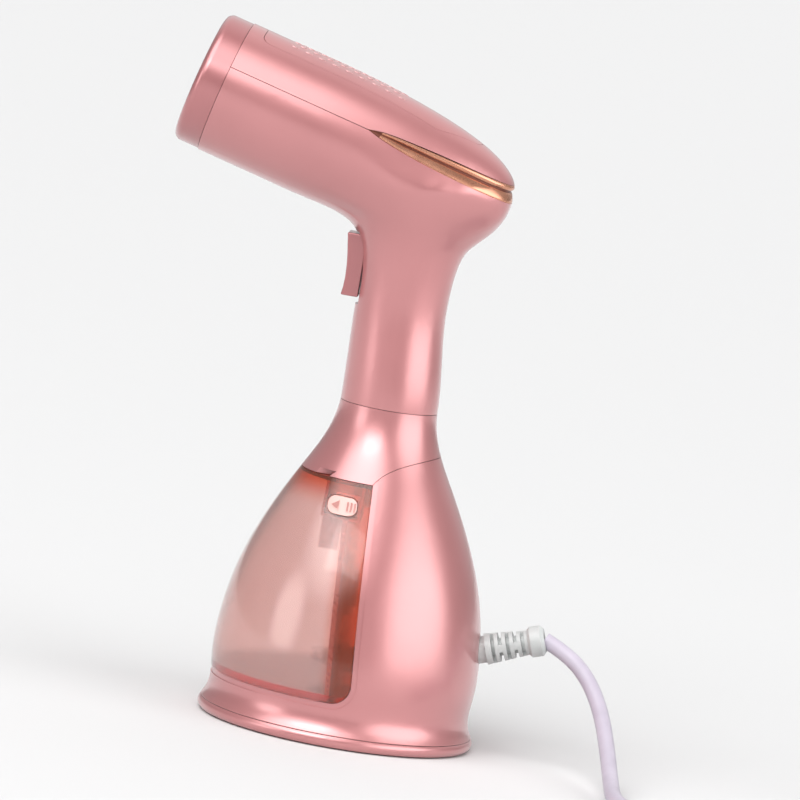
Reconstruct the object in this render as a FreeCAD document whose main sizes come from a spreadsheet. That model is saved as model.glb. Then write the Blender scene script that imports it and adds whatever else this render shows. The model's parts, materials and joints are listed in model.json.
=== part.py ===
"""Handheld garment steamer with a lift-off front water tank and a mains lead.

Millimetres, +Z up.  The origin is the centre of the underside of the base, the nozzle points
towards -X and the tank is at the front, so the lead leaves the body towards +X.
"""
import FreeCAD, Part
import Sketcher
import math
import os
import re
from types import SimpleNamespace

from FreeCAD import Placement, Rotation, Vector

SIZES = {
    # head: a barrel that runs back into a rounded tail and blends into the handle
    "tilt": 14.5,
    "seam_x": -93.4,
    "seam_z": 269.4,
    "barrel_radius": 30,
    "tail_start": 40,
    "tail_length": 94,
    "tail_rise": 2,
    "blend": 18,
    "skin_wall": 2,
    "nozzle_length": 12.2,
    "nozzle_radius": 29.6,
    "nozzle_lip": 24.5,
    "plate_radius": 26.8,
    "plate_thick": 1.8,
    "steam_hole": 2.6,
    "steam_holes": 12,
    "block_radius": 23,
    "block_length": 36,
    "chamber_radius": 18.5,
    "chamber_depth": 18,
    "screw_circle": 20.75,
    "screw_shank": 3,
    "split_height": 10.8,
    "trim_tip": 65,
    "panel_front": 6.8,
    "panel_rear": 112,
    "panel_half": 15.5,
    # handle
    "handle_foot": 144.3,
    "handle_radius": 21.4,
    "grip_depth": 20,
    "grip_width": 18.8,
    "grip_shift": 2.2,
    # trigger
    "pivot_x": -17.5,
    "pivot_z": 213.5,
    "pin_diameter": 3,
    "trigger_width": 14,
    "switch_height": 201,
    # lower body: a bell with the tank in its front half
    "body_wall": 2.2,
    "seam_gap": 0.25,
    "flange_radius": 60.9,
    "flange_top": 5.5,
    "flange_inner": 57.2,
    "plate_bottom": 1,
    "plate_top": 3.2,
    "foot_outer": 56.4,
    "foot_inner": 53.4,
    "foot_thick": 1.8,
    "boss_circle": 49,
    "screw_seat": 2.2,
    "tank_floor": 19.3,
    "tank_roof": 112.2,
    "tank_wall": 2,
    "tank_base": 3,
    "tank_edge": 0.6,
    "tank_slope": 0.08,
    "tank_corner": 8,
    "tank_rim": 9,
    "bezel_width": 2.7,
    "bezel_step": 0.4,
    "valve_height": 31,
    "filler_height": 62,
    "filler_radius": 9,
    # latch buttons in the sides of the tank
    "button_x": -10.5,
    "button_z": 102,
    "button_long": 13,
    "button_high": 7.5,
    "button_proud": 0.6,
    "tongue_inner": 24.8,
    "tongue_outer": 27,
    # pump
    "pump_x": 27.5,
    "pump_bottom": 40,
    "pump_radius": 8,
    "coil_radius": 14,
    # lead
    "cord_diameter": 7,
    "relief_x": 57.5,
    "relief_z": 45.3,
    "relief_angle": 19,
    "relief_length": 28.9,
    "coil_x": 258,
    "coil_y": -66,
    "coil_turns_wide": 3,
    "coil_turns_high": 2,
    "coil_mean": 40,
    "plug_pin_radius": 2.4,
    "plug_pin_length": 19,
    "plug_pin_gap": 19,
}

doc = FreeCAD.newDocument("handheld_steamer")
sheet = doc.addObject("Spreadsheet::Sheet", "Dimensions")
for row, (alias, number) in enumerate(SIZES.items(), 1):
    sheet.set(f"A{row}", alias)
    sheet.set(f"B{row}", str(number))
    sheet.setAlias(f"B{row}", alias)
doc.recompute()
dim = SimpleNamespace(**{alias: float(sheet.get(alias)) for alias in SIZES})

nodes = []
X_AXIS = Vector(1, 0, 0)
Y_AXIS = Vector(0, 1, 0)
Z_AXIS = Vector(0, 0, 1)
LEFT, RIGHT = -1, 1
FAR = 200


# ---------------------------------------------------------------- helpers

def formula(text):
    """A formula whose aliases point at the spreadsheet."""
    def cell(match):
        word = match[0]
        return f"Dimensions.{word}" if word in SIZES else word
    return re.sub(r"[a-z_]+", cell, str(text))


def bind(thing, **sizes):
    for name, text in sizes.items():
        thing.setExpression(name, formula(text))


def keep(piece, place=None):
    """Make a document object one of the separate pieces."""
    piece.Label = piece.Name
    if place is not None:
        piece.Placement = place
    nodes.append(piece)
    return piece


def turned(point, axis, degrees):
    return Placement(Vector(*point), Rotation(axis, degrees))


def along(point, direction):
    """A placement at a point whose Z axis runs along a direction."""
    return Placement(Vector(*point), Rotation(Z_AXIS, Vector(*direction)))


def free_form(name, shape, place=None):
    piece = doc.addObject("Part::Feature", name)
    piece.Shape = shape
    return keep(piece, place)


def cylinder(name, radius, length, place=None):
    piece = doc.addObject("Part::Cylinder", name)
    bind(piece, Radius=radius, Height=length)
    if place is not None:
        piece.Placement = place
    return piece


def sketch_on(body, role, name):
    sketch = body.newObject("Sketcher::SketchObject", name)
    plane = next(item for item in body.Origin.OriginFeatures if item.Role == role)
    sketch.AttachmentSupport = [(plane, "")]
    sketch.MapMode = "FlatFace"
    return sketch


def outline(body, role, corners, name="Outline"):
    """A closed polygon; every corner is dimensioned from the origin by two formulas."""
    sketch = sketch_on(body, role, name)
    count = len(corners)
    start = [Vector(50 * math.cos(math.tau * i / count), 50 * math.sin(math.tau * i / count), 0)
             for i in range(count)]
    for i in range(count):
        sketch.addGeometry(Part.LineSegment(start[i], start[(i + 1) % count]))
    for i in range(count):
        sketch.addConstraint(Sketcher.Constraint("Coincident", i, 2, (i + 1) % count, 1))
    for i, (across, up) in enumerate(corners):
        for kind, value, text in (("DistanceX", start[i].x, across), ("DistanceY", start[i].y, up)):
            index = sketch.addConstraint(Sketcher.Constraint(kind, -1, 1, i, 1, value))
            sketch.setExpression(f"Constraints[{index}]", formula(text))
    return sketch


def circle(body, role, across, up, radius, name="Circle"):
    sketch = sketch_on(body, role, name)
    sketch.addGeometry(Part.Circle(Vector(10, 10, 0), Z_AXIS, 5))
    for kind, text in (("DistanceX", across), ("DistanceY", up)):
        index = sketch.addConstraint(Sketcher.Constraint(kind, -1, 1, 0, 3, 10))
        sketch.setExpression(f"Constraints[{index}]", formula(text))
    index = sketch.addConstraint(Sketcher.Constraint("Radius", 0, 5))
    sketch.setExpression(f"Constraints[{index}]", formula(radius))
    return sketch


def new_body(name, place=None):
    return keep(doc.addObject("PartDesign::Body", name), place)


def revolved(name, corners, axis="H_Axis", place=None):
    """A body turned from an outline on its XZ plane."""
    body = new_body(name, place)
    sketch = outline(body, "XZ_Plane", corners)
    turn = body.newObject("PartDesign::Revolution", "Turn")
    turn.Profile = sketch
    turn.ReferenceAxis = (sketch, [axis])
    turn.Angle = 360
    return body


def padded(name, role, corners, length, place=None):
    """A body made by padding an outline equally to both sides of an origin plane."""
    body = new_body(name, place)
    pad = body.newObject("PartDesign::Pad", "Pad")
    pad.Profile = outline(body, role, corners)
    pad.Midplane = True
    bind(pad, Length=length)
    return body


def bored(body, role, across, up, radius, name="Bore"):
    """A round hole right through a body, along the plane's normal."""
    doc.recompute()
    before = body.Shape.Volume
    pocket = body.newObject("PartDesign::Pocket", name)
    pocket.Profile = circle(body, role, across, up, radius, name + "Circle")
    pocket.Type = "ThroughAll"
    pocket.Midplane = True
    doc.recompute()
    assert body.Shape.Volume < before, f"{body.Label}: {name} cut nothing"
    return pocket


def ring_of(body, feature, count):
    """Repeat a feature evenly round the axis of its body."""
    pattern = body.newObject("PartDesign::PolarPattern", feature.Name + "Ring")
    pattern.Originals = [feature]
    pattern.Axis = (feature.Profile[0], ["N_Axis"])
    pattern.Angle = 360
    bind(pattern, Occurrences=count)
    body.Tip = pattern
    doc.recompute()
    return pattern


def rounded_wire(corners, lift):
    """Straight sides joined by arcs; each corner is (a, b, radius), lift turns (a, b) to 3-D."""
    count = len(corners)
    ends = []
    for i, (a, b, radius) in enumerate(corners):
        corner = Vector(a, b, 0)
        back = Vector(*corners[i - 1][:2], 0) - corner
        ahead = Vector(*corners[(i + 1) % count][:2], 0) - corner
        back.normalize()
        ahead.normalize()
        half = back.getAngle(ahead) / 2
        if radius == 0:
            ends.append((corner, None, corner))
            continue
        reach = radius / math.tan(half)
        middle_way = (back + ahead).normalize()
        centre = corner + middle_way * (radius / math.sin(half))
        ends.append((corner + back * reach, centre - middle_way * radius, corner + ahead * reach))
    edges = []
    for i, (first, middle, last) in enumerate(ends):
        if middle is not None:
            edges.append(Part.Arc(*[lift(at.x, at.y) for at in (first, middle, last)]).toShape())
        following = ends[(i + 1) % count][0]
        if (following - last).Length > 1e-6:
            edges.append(Part.LineSegment(lift(last.x, last.y), lift(following.x, following.y)).toShape())
    return Part.Wire(edges)


def side_prism(corners, half=FAR, y=0):
    """An outline on the XZ plane, extruded to both sides along Y."""
    wire = rounded_wire(corners, lambda a, b: Vector(a, y - half, b))
    return Part.Face(wire).extrude(Vector(0, 2 * half, 0))


def block(x0, x1, y0, y1, z0, z1):
    return Part.makeBox(x1 - x0, y1 - y0, z1 - z0, Vector(x0, y0, z0))


def rod(radius, start, end):
    start, end = Vector(*start), Vector(*end)
    return Part.makeCylinder(radius, (end - start).Length, start, end - start)


def smooth_curve(points):
    curve = Part.BSplineCurve()
    curve.interpolate([Vector(*point) for point in points])
    return curve.toShape()


def route(points, radii=None):
    """Straight runs joined by tangent arcs, each as large as its two runs allow."""
    points = [Vector(*point) for point in points]
    edges = []
    last = points[0]
    for before, corner, after in zip(points, points[1:], points[2:]):
        back = (before - corner)
        ahead = (after - corner)
        reach = 0.45 * min(back.Length, ahead.Length)
        back.normalize()
        ahead.normalize()
        half_turn = (math.pi - back.getAngle(ahead)) / 2
        radius = reach / math.tan(half_turn)
        if radii is not None:
            radii.append(radius)
        first, final = corner + back * reach, corner + ahead * reach
        middle_way = (back + ahead).normalize()
        middle = corner + middle_way * (radius / math.cos(half_turn) - radius)
        edges.append(Part.LineSegment(last, first).toShape())
        edges.append(Part.Arc(first, middle, final).toShape())
        last = final
    edges.append(Part.LineSegment(last, points[-1]).toShape())
    return Part.Wire(edges)


def tube(points, radius, bore=0, radii=None):
    path = route(points, radii)
    start, second = Vector(*points[0]), Vector(*points[1])
    ring = Part.Wire(Part.makeCircle(radius, start, second - start))
    solid = path.makePipeShell([ring], True, False)
    if bore:
        hollow = Part.Wire(Part.makeCircle(bore, start, second - start))
        solid = solid.cut(path.makePipeShell([hollow], True, False))
    return solid, path.Length


def coil_spring(radius, wire, turns, length):
    """A compression spring of square wire on the Z axis."""
    helix = Part.makeHelix(length / turns, length, radius)
    half = wire / 2
    square = ((-half, -half), (half, -half), (half, half), (-half, half))
    corners = [Vector(radius + across, 0, up) for across, up in square]
    section = Part.makePolygon(corners + corners[:1])
    return Part.Wire(helix).makePipeShell([section], True, True)


# ---------------------------------------------------------------- the skin of head and handle

HEAD = Placement(Vector(dim.seam_x, 0, dim.seam_z), Rotation(Y_AXIS, dim.tilt))
HEAD_BACK = HEAD.inverse()
FAN_X, FAN_Z = -62, 190
FAN_ANGLE = 90 - dim.tilt
FAN_STEPS = 22
ROUND_STEPS = 24


def ease(fraction):
    fraction = max(0.0, min(1.0, fraction))
    return fraction * fraction * (3 - 2 * fraction)


def barrel_distance(point):
    """Distance from a round barrel that closes in a blunt tail; along x, up z, in its own frame."""
    local = HEAD_BACK.multVec(point)
    along_tail = max(0.0, local.x - dim.tail_start) / dim.tail_length
    up = local.z - dim.tail_rise * along_tail ** 2
    across = math.hypot(local.y, up) / dim.barrel_radius
    value = along_tail ** 2 + across ** 3 - 1
    slope = math.hypot(2 * along_tail / dim.tail_length, 3 * across ** 2 / dim.barrel_radius)
    return value / max(slope, 0.01)


def grip_distance(point):
    """Distance from the handle, whose round foot turns into an oval grip."""
    grown = ease((point.z - dim.handle_foot) / 45)
    half_x = dim.handle_radius + (dim.grip_depth - dim.handle_radius) * grown
    half_y = dim.handle_radius + (dim.grip_width - dim.handle_radius) * grown
    u = (point.x + dim.grip_shift * grown) / half_x
    v = point.y / half_y
    value = (u * u + v * v - 1) / max(2 * math.hypot(u / half_x, v / half_y), 0.02)
    return max(value, point.z - 236)


def skin_distance(point, inset):
    """Both forms run into each other with a soft hollow between them."""
    barrel = barrel_distance(point) + inset
    grip = grip_distance(point) + inset
    mix = max(dim.blend - abs(barrel - grip), 0.0) / dim.blend
    return min(barrel, grip) - mix * mix * dim.blend / 4


def skin_section(origin, direction, inset):
    """Points round the skin in the plane of a direction and the Y axis."""
    def value(reach, side):
        return skin_distance(origin + direction * reach + Y_AXIS * side, inset)

    def surface(start, step_reach, step_side):
        inside, outside = 0.0, 1.0
        while value(start + step_reach * outside, step_side * outside) < 0:
            outside *= 1.3
        for _ in range(30):
            middle = (inside + outside) / 2
            if value(start + step_reach * middle, step_side * middle) < 0:
                inside = middle
            else:
                outside = middle
        return (inside + outside) / 2

    deepest = min(range(20, 125), key=lambda reach: value(reach, 0))
    top = surface(deepest, 1, 0)
    bottom = surface(deepest, -1, 0)
    centre = deepest + (top - bottom) / 2
    half = (top + bottom) / 2
    width = surface(centre, 0, 1)
    points = []
    for i in range(ROUND_STEPS + 1):
        angle = math.tau * (i % ROUND_STEPS) / ROUND_STEPS - 0.85 * math.pi
        step_reach, step_side = half * math.cos(angle), width * math.sin(angle)
        share = surface(centre, step_reach, step_side)
        points.append(origin + direction * (centre + step_reach * share)
                      + Y_AXIS * (step_side * share))
    return points


def skin_solid(inset=0.0, overrun=0.0):
    """One smooth closed surface through sections that fan from the handle's foot to the nozzle."""
    planes = []
    heights = [dim.handle_foot + step for step in (0, 6, 12, 18, 24, 30, 36, 41)]
    if overrun:
        heights.insert(0, dim.handle_foot - overrun)
    for height in heights:
        planes.append((Vector(FAN_X, 0, height), X_AXIS))
    for i in range(FAN_STEPS + 1):
        angle = math.radians(FAN_ANGLE * i / FAN_STEPS)
        planes.append((Vector(FAN_X, 0, FAN_Z), Vector(math.cos(angle), 0, math.sin(angle))))
    start = HEAD_BACK.multVec(Vector(FAN_X, 0, FAN_Z))
    stations = [44, 37, 30, 22, 15, 8, 0]
    stations = [s for s in stations if s < start.x - 3]
    if overrun:
        stations.append(-overrun)
    up = HEAD.Rotation.multVec(Z_AXIS)
    for station in stations:
        planes.append((HEAD.multVec(Vector(station, 0, start.z)), up))
    surface = Part.BSplineSurface()
    surface.interpolate([skin_section(origin, way, inset) for origin, way in planes])
    side = surface.toShape()
    first, last = surface.bounds()[:2]
    ends = [Part.Face(Part.Wire([surface.uIso(at).toShape()])) for at in (first, last)]
    closed = Part.makeCompound([side] + ends)
    closed.sewShape()
    solid = Part.Solid(closed.Shells[0])
    if solid.Volume < 0:
        solid.reverse()
    return solid


OVERRUN = 6
outer_skin = skin_solid()
inner_skin = skin_solid(dim.skin_wall, OVERRUN)
hollow_skin = outer_skin.cut(inner_skin)


def in_head(shape):
    shape = shape.copy()
    shape.Placement = HEAD.multiply(shape.Placement)
    return shape


def trim_region(swell):
    """The leaf between the top cover and the handle shells, seen from the side."""
    tip = dim.trim_tip
    level = dim.split_height
    upper = smooth_curve([(tip - swell, 0, level), (tip + 6, 0, level + 1.3 + swell),
                          (tip + 17, 0, level + 2.1 + swell), (tip + 34, 0, level + 2.4 + swell),
                          (tip + 80, 0, level + 1.6 + swell)])
    lower = smooth_curve([(tip - swell, 0, level), (tip + 6, 0, level - 1.3 - swell),
                          (tip + 17, 0, level - 2.9 - swell), (tip + 34, 0, level - 4.3 - swell),
                          (tip + 80, 0, level - 6.2 - swell)])
    end = Part.LineSegment(Vector(tip + 80, 0, level + 1.6 + swell),
                           Vector(tip + 80, 0, level - 6.2 - swell)).toShape()
    face = Part.Face(Part.Wire([upper, end, lower]))
    face.translate(Vector(0, -FAR, 0))
    return in_head(face.extrude(Vector(0, 2 * FAR, 0)))


def below_split(drop):
    """Everything under the level line between the top cover and the handle shells."""
    level = dim.split_height - drop
    return in_head(block(-60, FAR, -FAR, FAR, -FAR, level))


def above_split(lift):
    level = dim.split_height + lift
    return in_head(block(-60, FAR, -FAR, FAR, level, FAR))


def panel_region(swell):
    """The long panel let into the top, square at the front and round at the rear."""
    front, rear = dim.panel_front - swell, dim.panel_rear + swell
    half = dim.panel_half + swell
    corners = [(front, -half, 4), (rear - 20, -half, 12), (rear, -6, 6), (rear, 6, 6),
               (rear - 20, half, 12), (front, half, 4)]
    face = Part.Face(rounded_wire(corners, lambda a, b: Vector(a, b, 10)))
    return in_head(face.extrude(Vector(0, 0, 40)))


HALF_GAP = dim.seam_gap / 2
free_form("top_panel", hollow_skin.common(panel_region(-HALF_GAP)))
free_form("head_top_cover", hollow_skin.common(above_split(HALF_GAP)).cut(trim_region(HALF_GAP))
          .cut(panel_region(HALF_GAP)))
free_form("trim_band", hollow_skin.common(trim_region(-HALF_GAP)))


# ---------------------------------------------------------------- handle shells

WINDOW_HALF = dim.trigger_width / 2 + 0.35
trigger_window = block(-40, -14, -WINDOW_HALF, WINDOW_HALF, 186.2, 217.4)
SCREW_POSTS = [(-11.5, 162), (12.0, 186), (13.0, 233.5), (-40.0, 235.5)]
POST_RADIUS = 3.4
DRIVER_RADIUS = 3.3
PIN_LENGTH = 20


def pin_bearing(side):
    """The lug that carries one end of the trigger's pin."""
    near, far = WINDOW_HALF + 0.3, 19
    low, high = sorted((side * near, side * far))
    return block(-22.5, -13, low, high, 209.5, 218).common(outer_skin)


def switch_rib(z0, side):
    low, high = sorted((side * 2.95, side * 18))
    return block(-11.5, -6, low, high, z0, z0 + 1.4).common(outer_skin)


def handle_shell(side):
    low, high = sorted((side * HALF_GAP, side * FAR))
    half = block(-FAR, FAR, low, high, 0, 400)
    shell = hollow_skin.common(below_split(HALF_GAP)).cut(trim_region(HALF_GAP))
    shell = shell.common(half).cut(trigger_window)
    extras = [pin_bearing(side)]
    extras += [switch_rib(z, side) for z in (dim.switch_height - 7.9, dim.switch_height + 6.5)]
    for x, z in SCREW_POSTS:
        extras.append(rod(POST_RADIUS, (x, side * HALF_GAP, z), (x, side * 27, z)).common(outer_skin))
    shell = shell.fuse(extras)
    for x, z in SCREW_POSTS:
        if side == RIGHT:
            shell = shell.cut(rod(1.6, (x, -1, z), (x, 40, z)))
            shell = shell.cut(rod(DRIVER_RADIUS, (x, 8, z), (x, 40, z)))
        else:
            shell = shell.cut(rod(1.25, (x, 1, z), (x, -11, z)))
    reach = PIN_LENGTH / 2 + 0.05
    return shell.cut(rod(dim.pin_diameter / 2 + 0.03, (dim.pivot_x, -reach, dim.pivot_z),
                         (dim.pivot_x, reach, dim.pivot_z)))


free_form("handle_shell_left", handle_shell(LEFT))
free_form("handle_shell_right", handle_shell(RIGHT))


def pan_screw(start, direction, shank_radius, head_radius, length):
    """A pan-head screw with a cross recess; start is under the head, direction is into the work."""
    shape = rod(shank_radius, (0, 0, 0), (0, 0, -length))
    head = rod(head_radius, (0, 0, 0), (0, 0, head_radius * 0.7))
    top = head_radius * 0.7
    arm = head_radius * 0.55
    cross = block(-arm, arm, -0.3, 0.3, top - 1, top + 1).fuse(block(-0.3, 0.3, -arm, arm, top - 1, top + 1))
    shape = shape.fuse(head).cut(cross)
    shape.Placement = along(start, [-part for part in direction])
    return shape


free_form("handle_screws", Part.makeCompound(
    [pan_screw((x, 8, z), (0, -1, 0), 1.25, 2.7, 17) for x, z in SCREW_POSTS]))


# ---------------------------------------------------------------- trigger and switch

def trigger_shape():
    half = dim.trigger_width / 2
    front = smooth_curve([(-31.6, -half, 216.6), (-30.4, -half, 208), (-29.6, -half, 199),
                          (-29.8, -half, 192), (-31.4, -half, 187.4)])
    lower = [(-31.4, 187.4), (-29.2, 186.9), (-27.5, 190.5), (-21.2, 190.5), (-21.2, 198.2),
             (-14.3, 199.4), (-14.3, 202.6), (-21.2, 205), (-21.2, 216.6), (-31.6, 216.6)]
    edges = [front]
    for (x0, z0), (x1, z1) in zip(lower, lower[1:]):
        edges.append(Part.LineSegment(Vector(x0, -half, z0), Vector(x1, -half, z1)).toShape())
    plate = Part.Face(Part.Wire(edges)).extrude(Vector(0, 2 * half, 0))
    # round the long front edges over, as a finger pad
    pad_radius = 34
    belly = Part.makeCylinder(pad_radius, 60, Vector(pad_radius - 32.2, 0, 170))
    plate = plate.common(belly)
    nose = block(-20.9, -14, -3, 3, 195, 206)
    plate = plate.cut(block(-21, -10, -half - 1, half + 1, 190, 207)).fuse(
        nose.common(side_prism([(-22, 198, 0), (-14.3, 199.4, 0), (-14.3, 202.6, 0), (-22, 205, 0)])))
    hub = rod(3, (dim.pivot_x, -half, dim.pivot_z), (dim.pivot_x, half, dim.pivot_z))
    web = block(-22, dim.pivot_x, -half, half, dim.pivot_z - 3, dim.pivot_z + 3)
    plate = plate.fuse([hub, web])
    plate = plate.cut(rod(dim.pin_diameter / 2 + 0.05, (dim.pivot_x, -20, dim.pivot_z),
                          (dim.pivot_x, 20, dim.pivot_z)))
    return plate.cut(block(-21.4, -13, -3, 3, dim.pivot_z - 4, dim.pivot_z + 5))


free_form("trigger", trigger_shape())
pin = cylinder("trigger_pin", "pin_diameter / 2", PIN_LENGTH,
               along((dim.pivot_x, -PIN_LENGTH / 2, dim.pivot_z), (0, 1, 0)))
keep(pin)


def torsion_spring():
    coil = coil_spring(2.3, 0.6, 3, 3.9)
    coil.Placement = along((dim.pivot_x, -2.1, dim.pivot_z), (0, 1, 0))
    return coil


free_form("trigger_spring", torsion_spring())

switch_case = padded("microswitch", "XZ_Plane",
                     [(-12, "switch_height - 6.4"), (-5.5, "switch_height - 6.4"),
                      (-5.5, "switch_height + 6.4"), (-12, "switch_height + 6.4")], 5.8)
doc.recompute()
plunger_well = switch_case.newObject("PartDesign::Pocket", "PlungerWell")
plunger_well.Profile = outline(switch_case, "YZ_Plane",
                               [(-1.5, "switch_height - 1.5"), (1.5, "switch_height - 1.5"),
                                (1.5, "switch_height + 1.5"), (-1.5, "switch_height + 1.5")], "Well")
plunger_well.Length = 12.5
second_side = switch_case.newObject("PartDesign::Pad", "Back")
second_side.Profile = outline(switch_case, "XZ_Plane",
                              [(-8.2, "switch_height - 6"), (-5.6, "switch_height - 6"),
                               (-5.6, "switch_height + 6"), (-8.2, "switch_height + 6")], "BackOutline")
second_side.Midplane = True
second_side.Length = 5.2
padded("switch_plunger", "XZ_Plane",
       [(-14, "switch_height - 1.2"), (-10.3, "switch_height - 1.2"),
        (-10.3, "switch_height + 1.2"), (-14, "switch_height + 1.2")], 2.4)


# ---------------------------------------------------------------- nozzle and heater, in the head's frame

nozzle = revolved("nozzle_ring", [
    ("-nozzle_length", "nozzle_lip"), ("-nozzle_length", "nozzle_radius"), ("-seam_gap", "nozzle_radius"),
    ("-seam_gap", "barrel_radius - skin_wall - 0.3"), (6, "barrel_radius - skin_wall - 0.3"),
    (6, "plate_radius - 0.6"), ("-6", "plate_radius - 0.6"), ("-6", "plate_radius + 0.1"),
    ("2.1 - nozzle_length", "plate_radius + 0.1"), ("2.1 - nozzle_length", "nozzle_lip")], place=HEAD)
doc.recompute()
turn = nozzle.Tip
front_edges = [f"Edge{i + 1}" for i, edge in enumerate(turn.Shape.Edges)
               if isinstance(edge.Curve, Part.Circle) and abs(edge.Curve.Radius - dim.nozzle_radius) < 0.01
               and abs(edge.Curve.Center.x + dim.nozzle_length) < 0.01]
rounding = nozzle.newObject("PartDesign::Fillet", "FrontRounding")
rounding.Base = (turn, front_edges)
rounding.Radius = 3.4
nozzle.Tip = rounding


def disc_body(name, start, thick, radius, place=HEAD):
    """A round disc across the barrel, from a distance behind the seam rearward."""
    return revolved(name, [(start, 0), (f"{start} + {thick}", 0), (f"{start} + {thick}", radius),
                           (start, radius)], place=place)


plate = disc_body("steam_plate", "2.2 - nozzle_length", "plate_thick", "plate_radius")
outer_holes = bored(plate, "YZ_Plane", 0, 19, "steam_hole / 2", "OuterHole")
ring_of(plate, outer_holes, "steam_holes")
inner_holes = bored(plate, "YZ_Plane", 0, 10, "steam_hole / 2", "InnerHole")
ring_of(plate, inner_holes, "steam_holes / 2")

SEAL_START = "2.3 - nozzle_length + plate_thick"
revolved("plate_seal", [(SEAL_START, 23.4), (SEAL_START, "plate_radius - 0.2"),
                        (SEAL_START + " + 1.9", "plate_radius - 0.2"), (SEAL_START + " + 1.9", 23.4)],
         place=HEAD)
cover = disc_body("chamber_cover", "-6", "3", "block_radius")
cover_holes = bored(cover, "YZ_Plane", 0, 12, 1.6, "SteamPort")
ring_of(cover, cover_holes, 8)
cover_screw = bored(cover, "YZ_Plane", 0, "screw_circle", "screw_shank / 2 + 0.1", "ScrewHole")
ring_of(cover, cover_screw, 4)
gasket = revolved("heater_gasket", [(-3, "chamber_radius"), (-2, "chamber_radius"),
                                    (-2, "block_radius"), (-3, "block_radius")], place=HEAD)
gasket_screw = bored(gasket, "YZ_Plane", 0, "screw_circle", "screw_shank / 2 + 0.1", "ScrewHole")
ring_of(gasket, gasket_screw, 4)

ELEMENT_RADIUS = 3.2
ELEMENT_TURN = 13
ELEMENT_AT = 25


def element_shape(grow=0.0):
    """The sheathed element: a U bent round in the block with both legs out of its rear."""
    turn = Part.makeTorus(ELEMENT_TURN, ELEMENT_RADIUS + grow, Vector(ELEMENT_AT, 0, 0), X_AXIS)
    turn = turn.common(block(0, 60, -30, 30, -30, 0))
    legs = [rod(ELEMENT_RADIUS + grow, (ELEMENT_AT, side * ELEMENT_TURN, 0),
                (43, side * ELEMENT_TURN, 0)) for side in (LEFT, RIGHT)]
    corners = [Part.makeSphere(ELEMENT_RADIUS + grow, Vector(ELEMENT_AT, side * ELEMENT_TURN, 0))
               for side in (LEFT, RIGHT)]
    return turn.fuse(legs + corners)


def heater_block_shape():
    body = rod(dim.block_radius, (-2, 0, 0), (dim.block_length - 2, 0, 0))
    inlet = rod(4, (dim.block_length - 2, 0, -9), (dim.block_length + 6, 0, -9))
    body = body.fuse(inlet)
    body = body.cut(rod(dim.chamber_radius, (-3, 0, 0), (dim.chamber_depth - 2, 0, 0)))
    body = body.cut(rod(1.6, (dim.chamber_depth - 4, 0, -9), (dim.block_length + 8, 0, -9)))
    for i in range(4):
        angle = math.tau * i / 4
        y, z = dim.screw_circle * math.sin(angle), dim.screw_circle * math.cos(angle)
        body = body.cut(rod(dim.screw_shank / 2 - 0.1, (-3, y, z), (8, y, z)))
    return body.cut(element_shape())


free_form("heater_block", heater_block_shape(), HEAD)
free_form("heater_element", element_shape().cut(block(42.5, 60, -30, 30, -30, 30)), HEAD)


def terminal(side):
    bead = rod(2.6, (42.5, side * ELEMENT_TURN, 0), (46.5, side * ELEMENT_TURN, 0))
    blade = block(46.5, 54, side * ELEMENT_TURN - 0.4, side * ELEMENT_TURN + 0.4, -2.4, 2.4)
    return bead.fuse(blade)


free_form("heater_terminals", Part.makeCompound([terminal(LEFT), terminal(RIGHT)]), HEAD)


def thermostat_shape():
    rear = dim.block_length - 2
    cup = rod(8, (rear, 0, 11), (rear + 7, 0, 11)).fuse(rod(6, (rear + 7, 0, 11), (rear + 10, 0, 11)))
    tabs = [block(rear + 9.5, rear + 16, y - 2, y + 2, 10.6, 11.4) for y in (-4, 4)]
    return cup.fuse(tabs)


free_form("thermostat", thermostat_shape(), HEAD)


def thermal_fuse_shape():
    rear = dim.block_length - 2
    capsule = rod(2, (rear + 2.2, -9, -16), (rear + 2.2, 9, -16))
    clip = block(rear, rear + 5, -3, 3, -18.6, -13.4)
    leads = rod(0.5, (rear + 2.2, -14, -16), (rear + 2.2, 14, -16))
    return capsule.fuse([clip, leads])


free_form("thermal_fuse", thermal_fuse_shape(), HEAD)
SCREW_RING = [math.tau * i / 4 for i in range(4)]
free_form("heater_screws", Part.makeCompound(
    [pan_screw((-6, dim.screw_circle * math.sin(angle), dim.screw_circle * math.cos(angle)), (1, 0, 0),
               dim.screw_shank / 2 - 0.1, 2, 12) for angle in SCREW_RING])
    .common(block(-7.3, 20, -30, 30, -30, 30)), HEAD)
bracket = revolved("heater_bracket", [
    (16, "block_radius"), (20, "block_radius"), (20, "barrel_radius - skin_wall - 0.2"),
    (16, "barrel_radius - skin_wall - 0.2")], place=HEAD)
vent = bored(bracket, "YZ_Plane", 0, "block_radius + 2.4", 1.6, "AirGap")
ring_of(bracket, vent, 12)


# ---------------------------------------------------------------- lower body

BELL = [(60.0, 6), (57.8, 11.5), (58.3, 24), (57.9, 42), (54.1, 64), (45.6, 88), (33.5, 112),
        (25.3, 128), (21.4, 144.3)]
HOUSING_FOOT = dim.flange_top + 0.25
COLLAR_TOP = dim.handle_foot - dim.seam_gap


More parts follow.
